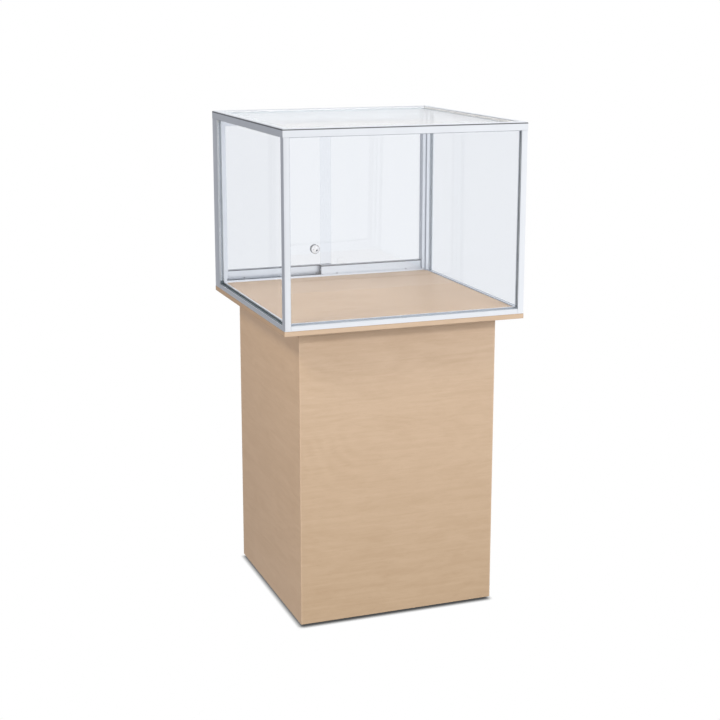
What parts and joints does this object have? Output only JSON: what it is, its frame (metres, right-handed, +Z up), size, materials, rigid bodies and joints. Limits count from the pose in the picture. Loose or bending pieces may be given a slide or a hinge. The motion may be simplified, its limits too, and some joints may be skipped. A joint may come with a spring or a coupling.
{
  "type": "pedestal display showcase",
  "caption": "Square wood-laminate pedestal carrying an aluminium-framed clear glass case with sliding rear doors and a plunger lock.",
  "frame": {"origin": "on the floor, under the centre of the case", "axes": "+Z up; the front faces -Y and the sliding doors are in the +Y side; +X is to the viewer's right when facing the front"},
  "size_m": [0.61, 0.61, 1.219],
  "materials": {
    "maple_laminate": "satin maple-grain laminate with matching edge band",
    "raw_board": "unfinished particle board",
    "softwood": "planed timber",
    "nylon": "moulded grey nylon",
    "anodised_aluminium": "satin clear anodised extrusion",
    "cast_key": "die-cast, unfinished",
    "clear_glass": "clear float glass, polished edges",
    "gasket_rubber": "black extruded glazing rubber",
    "wheel_nylon": "moulded natural nylon",
    "axle_steel": "ground steel pin",
    "lock_chrome": "polished chrome plate",
    "key_plug_steel": "turned face with a keyway"
  },
  "bodies": {
    "case": {"plinth_front_panel": "maple_laminate", "plinth_right_panel": "maple_laminate", "plinth_rear_panel": "maple_laminate", "plinth_left_panel": "maple_laminate", "deck_board": "maple_laminate", "display_floor": "maple_laminate", "plinth_base_board": "raw_board", "plinth_top_board": "raw_board", "corner_block_front_left": "softwood", "corner_block_front_right": "softwood", "corner_block_rear_left": "softwood", "corner_block_rear_right": "softwood", "floor_glide_front_left": "nylon", "floor_glide_front_right": "nylon", "floor_glide_rear_left": "nylon", "floor_glide_rear_right": "nylon", "post_front_left": "anodised_aluminium", "post_front_right": "anodised_aluminium", "post_rear_left": "anodised_aluminium", "post_rear_right": "anodised_aluminium", "bottom_rail_front": "anodised_aluminium", "bottom_rail_right": "anodised_aluminium", "bottom_rail_rear": "anodised_aluminium", "bottom_rail_left": "anodised_aluminium", "top_rail_front": "anodised_aluminium", "top_rail_right": "anodised_aluminium", "top_rail_rear": "anodised_aluminium", "top_rail_left": "anodised_aluminium", "lower_track": "anodised_aluminium", "upper_track": "anodised_aluminium", "jamb_left": "anodised_aluminium", "jamb_right": "anodised_aluminium", "corner_key_front_left": "cast_key", "corner_key_front_right": "cast_key", "corner_key_rear_left": "cast_key", "corner_key_rear_right": "cast_key", "pane_front": "clear_glass", "pane_right": "clear_glass", "pane_left": "clear_glass", "pane_top": "clear_glass", "gasket_front": "gasket_rubber", "gasket_right": "gasket_rubber", "gasket_left": "gasket_rubber", "gasket_top": "gasket_rubber"},
    "left_door": {"left_door_glass": "clear_glass", "left_door_shoe": "anodised_aluminium", "left_door_axle_left": "axle_steel", "left_door_axle_right": "axle_steel", "lock_body": "lock_chrome", "lock_nut": "lock_chrome"},
    "right_door": {"right_door_glass": "clear_glass", "right_door_shoe": "anodised_aluminium", "right_door_axle_left": "axle_steel", "right_door_axle_right": "axle_steel"},
    "left_door_wheel_a": {"left_door_wheel_left": "wheel_nylon"},
    "left_door_wheel_b": {"left_door_wheel_right": "wheel_nylon"},
    "right_door_wheel_a": {"right_door_wheel_left": "wheel_nylon"},
    "right_door_wheel_b": {"right_door_wheel_right": "wheel_nylon"},
    "plunger": {"lock_plunger": "lock_chrome"},
    "key_plug": {"lock_key_plug": "key_plug_steel"}
  },
  "joints": [
    {"name": "left_door_slide", "type": "slide", "parent": "case", "child": "left_door", "axis": [1, 0, 0], "range_m": [0, 0.266]},
    {"name": "right_door_slide", "type": "slide", "parent": "case", "child": "right_door", "axis": [1, 0, 0], "range_m": [-0.266, 0]},
    {"name": "lock_push", "type": "slide", "parent": "left_door", "child": "plunger", "axis": [0, -1, 0], "range_m": [0, 0.006], "stiffness_N_per_m": 150},
    {"name": "key_turn", "type": "hinge", "parent": "plunger", "child": "key_plug", "pos_m": [-0.029, 0.3, 0.84], "axis": [0, -1, 0], "range_deg": [0, 90]},
    {"name": "left_door_wheel_a_roll", "type": "hinge", "parent": "left_door", "child": "left_door_wheel_a", "pos_m": [-0.2295, 0.294, 0.7741], "axis": [0, 1, 0], "range_deg": [0, 3060]},
    {"name": "left_door_wheel_b_roll", "type": "hinge", "parent": "left_door", "child": "left_door_wheel_b", "pos_m": [-0.027, 0.294, 0.7741], "axis": [0, 1, 0], "range_deg": [0, 3060]},
    {"name": "right_door_wheel_a_roll", "type": "hinge", "parent": "right_door", "child": "right_door_wheel_a", "pos_m": [0.027, 0.277, 0.7741], "axis": [0, 1, 0], "range_deg": [-3060, 0]},
    {"name": "right_door_wheel_b_roll", "type": "hinge", "parent": "right_door", "child": "right_door_wheel_b", "pos_m": [0.2295, 0.277, 0.7741], "axis": [0, 1, 0], "range_deg": [-3060, 0]}
  ],
  "couplings": [
    {"joint": "left_door_wheel_a_roll", "follows": "left_door_slide", "rad_per_m": 200},
    {"joint": "left_door_wheel_b_roll", "follows": "left_door_slide", "rad_per_m": 200},
    {"joint": "right_door_wheel_a_roll", "follows": "right_door_slide", "rad_per_m": 200},
    {"joint": "right_door_wheel_b_roll", "follows": "right_door_slide", "rad_per_m": 200}
  ]
}
